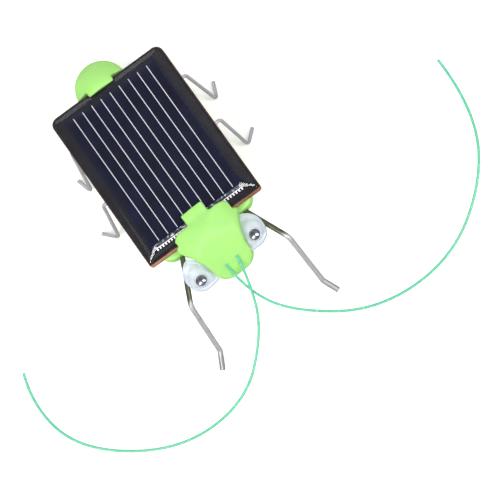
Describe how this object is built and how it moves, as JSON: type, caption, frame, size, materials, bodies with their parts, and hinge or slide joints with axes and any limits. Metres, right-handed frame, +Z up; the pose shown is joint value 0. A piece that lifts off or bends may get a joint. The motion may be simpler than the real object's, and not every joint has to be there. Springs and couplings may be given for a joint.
{
  "type": "solar vibration insect",
  "caption": "Small solar walking insect toy: a potted solar panel drives a motor with an eccentric weight, which shakes the body forward on bent wire legs.",
  "frame": {"origin": "on the ground, midway between the front feet and the tail and on the centre plane, antennae left out", "axes": "+Z up; +Y towards the tail, so the head faces -Y; +X towards the insect's left"},
  "size_m": [0.1203, 0.0817, 0.0183],
  "materials": {
    "green_plastic": "semi-gloss lime green moulded plastic",
    "clear_plastic": "clear moulded plastic with a faint blue cast",
    "black_plastic": "polished black bead",
    "laminate": "brown resin board",
    "pad_copper": "bare copper",
    "solder": "bright solder",
    "mask_lacquer": "black lacquer",
    "silicon": "blue-black silicon",
    "cell_silver": "thin silver print and tinned ribbon",
    "clear_epoxy": "clear glossy potting resin",
    "leg_wire": "drawn steel wire",
    "motor_steel": "nickel-plated steel can",
    "bearing_bronze": "sintered bronze",
    "magnet": "nickel-coated magnet",
    "cap_plastic": "off-white moulded plastic",
    "terminal_brass": "tinned brass strip",
    "shaft_steel": "ground steel",
    "coil_copper": "enamelled copper winding",
    "weight_metal": "sintered heavy metal",
    "lead_red": "red insulation",
    "lead_black": "black insulation",
    "green_nylon": "translucent mint green nylon line"
  },
  "bodies": {
    "body": {"chassis": "green_plastic", "head_cover": "green_plastic", "eye_lens_left": "clear_plastic", "eye_lens_right": "clear_plastic", "eye_pupil_left": "black_plastic", "eye_pupil_right": "black_plastic", "panel_board": "laminate", "terminal_pads": "pad_copper", "panel_solder": "solder", "solar_cells": "silicon", "seam_ribbons": "cell_silver", "collector_strip": "cell_silver", "contact_comb": "cell_silver", "board_mask": "mask_lacquer", "tail_cap": "green_plastic", "epoxy_dome": "clear_epoxy", "leg_front_left": "leg_wire", "leg_front_right": "leg_wire", "leg_middle_left": "leg_wire", "leg_middle_right": "leg_wire", "leg_rear_left": "leg_wire", "leg_rear_right": "leg_wire", "motor_can": "motor_steel", "motor_bearing": "bearing_bronze", "motor_magnet": "magnet", "motor_end_cap": "cap_plastic", "motor_terminals": "terminal_brass", "motor_brushes": "terminal_brass", "lead_red": "lead_red", "lead_black": "lead_black", "antenna_left": "green_nylon", "antenna_right": "green_nylon"},
    "rotor": {"motor_shaft": "shaft_steel", "commutator": "pad_copper", "rotor_coil": "coil_copper", "eccentric_weight": "weight_metal"}
  },
  "joints": [
    {"name": "rotor_spin", "type": "hinge", "parent": "body", "child": "rotor", "pos_m": [0, 0.01023, 0.008], "axis": [0, 1, 0], "continuous": true}
  ]
}
